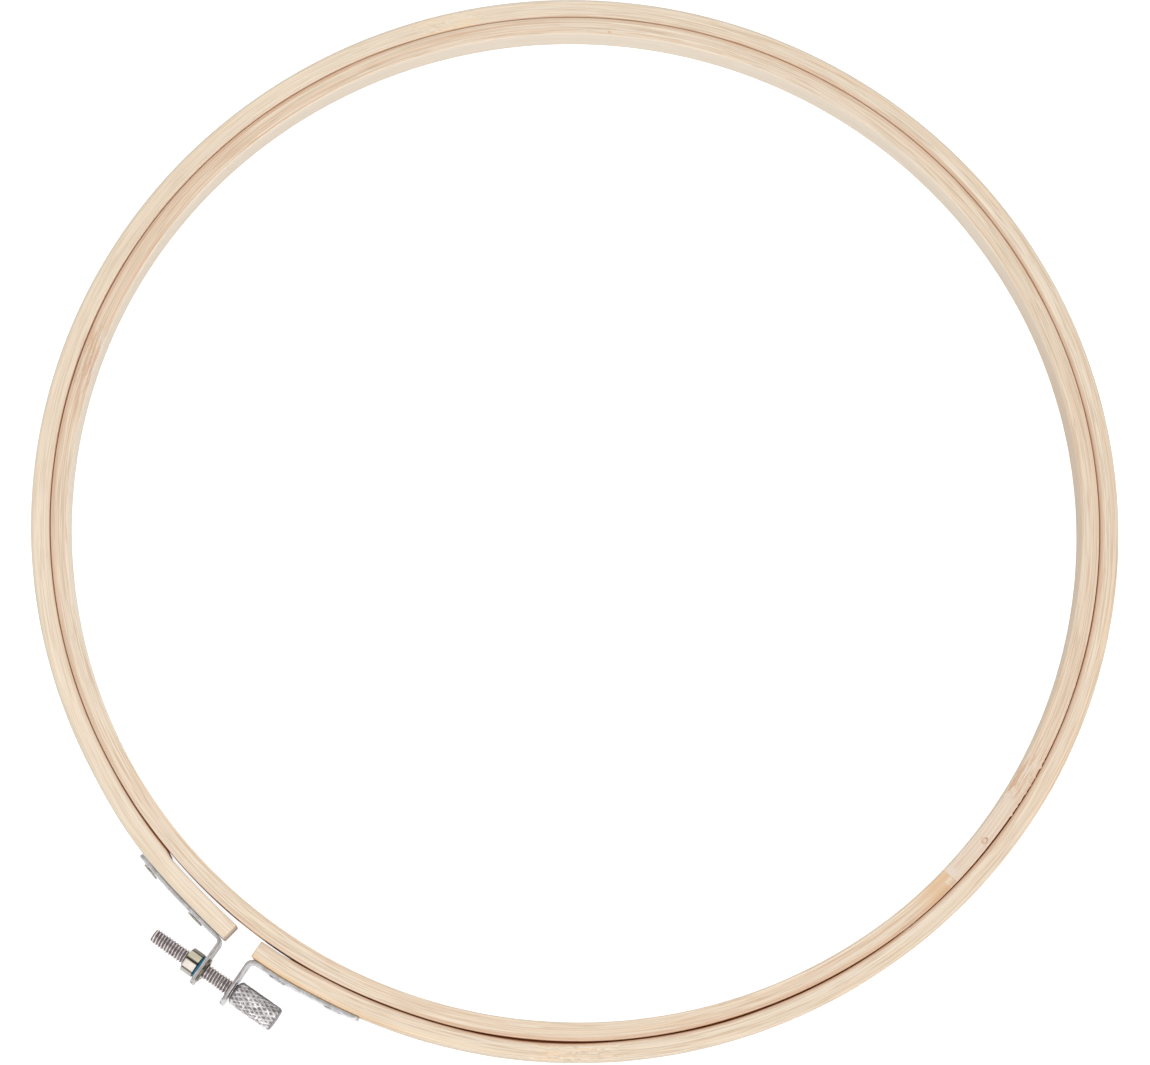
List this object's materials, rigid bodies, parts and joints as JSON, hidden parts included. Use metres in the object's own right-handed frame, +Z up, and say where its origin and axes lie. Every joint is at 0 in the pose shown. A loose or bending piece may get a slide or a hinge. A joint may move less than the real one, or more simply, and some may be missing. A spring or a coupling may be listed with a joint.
{
  "type": "embroidery hoop",
  "caption": "Round bamboo embroidery hoop: a closed inner ring in a split outer ring, drawn tight by a knurled thumb screw through two riveted steel lugs.",
  "frame": {"origin": "on the surface that the hoop lies on, under the middle of the whole hoop: on X the middle of the rings, on Y 6.96 mm from it towards the screw", "axes": "+Z up out of the hoop's plane, +Y from the screw towards the far side of the rings, +X from the nut towards the screw's knurled head"},
  "size_m": [0.2694, 0.2833, 0.0081],
  "materials": {
    "inner_bamboo": "sanded bamboo, fine straight grain",
    "outer_bamboo": "sanded bamboo, fine straight grain, warmer on its outer skin",
    "galvanised_steel": "dull galvanised strip",
    "nickel_plate": "bright nickel plate",
    "turned_steel": "turned, rolled thread and diamond knurl",
    "blue_nylon": "smooth"
  },
  "bodies": {
    "nut_side": {"outer_ring_nut_half": "outer_bamboo", "nut_bracket": "galvanised_steel", "nut_bracket_rivet_1": "galvanised_steel", "nut_bracket_rivet_2": "galvanised_steel", "clinch_nut": "nickel_plate", "nut_washer": "blue_nylon"},
    "head_side": {"outer_ring_head_half": "outer_bamboo", "head_bracket": "galvanised_steel", "head_bracket_rivet_1": "galvanised_steel", "head_bracket_rivet_2": "galvanised_steel"},
    "screw": {"thumb_screw": "turned_steel"},
    "inner": {"inner_ring": "inner_bamboo"}
  },
  "joints": [
    {"name": "ring_spring", "type": "hinge", "parent": "nut_side", "child": "head_side", "pos_m": [-0.01889, 0.13803, 0.00405], "axis": [0, 0, 1], "range_deg": [0, 1.98]},
    {"name": "screw_turn", "type": "hinge", "parent": "head_side", "child": "screw", "pos_m": [0.00413, -0.13689, 0.00405], "axis": [0.9991, 0.0426, 0], "range_deg": [0, 4320]},
    {"name": "inner_ring_lift", "type": "slide", "parent": "nut_side", "child": "inner", "axis": [0, 0, 1], "range_m": [0, 0.03]}
  ],
  "couplings": [
    {"joint": "screw_turn", "follows": "ring_spring", "ratio": 2182}
  ]
}
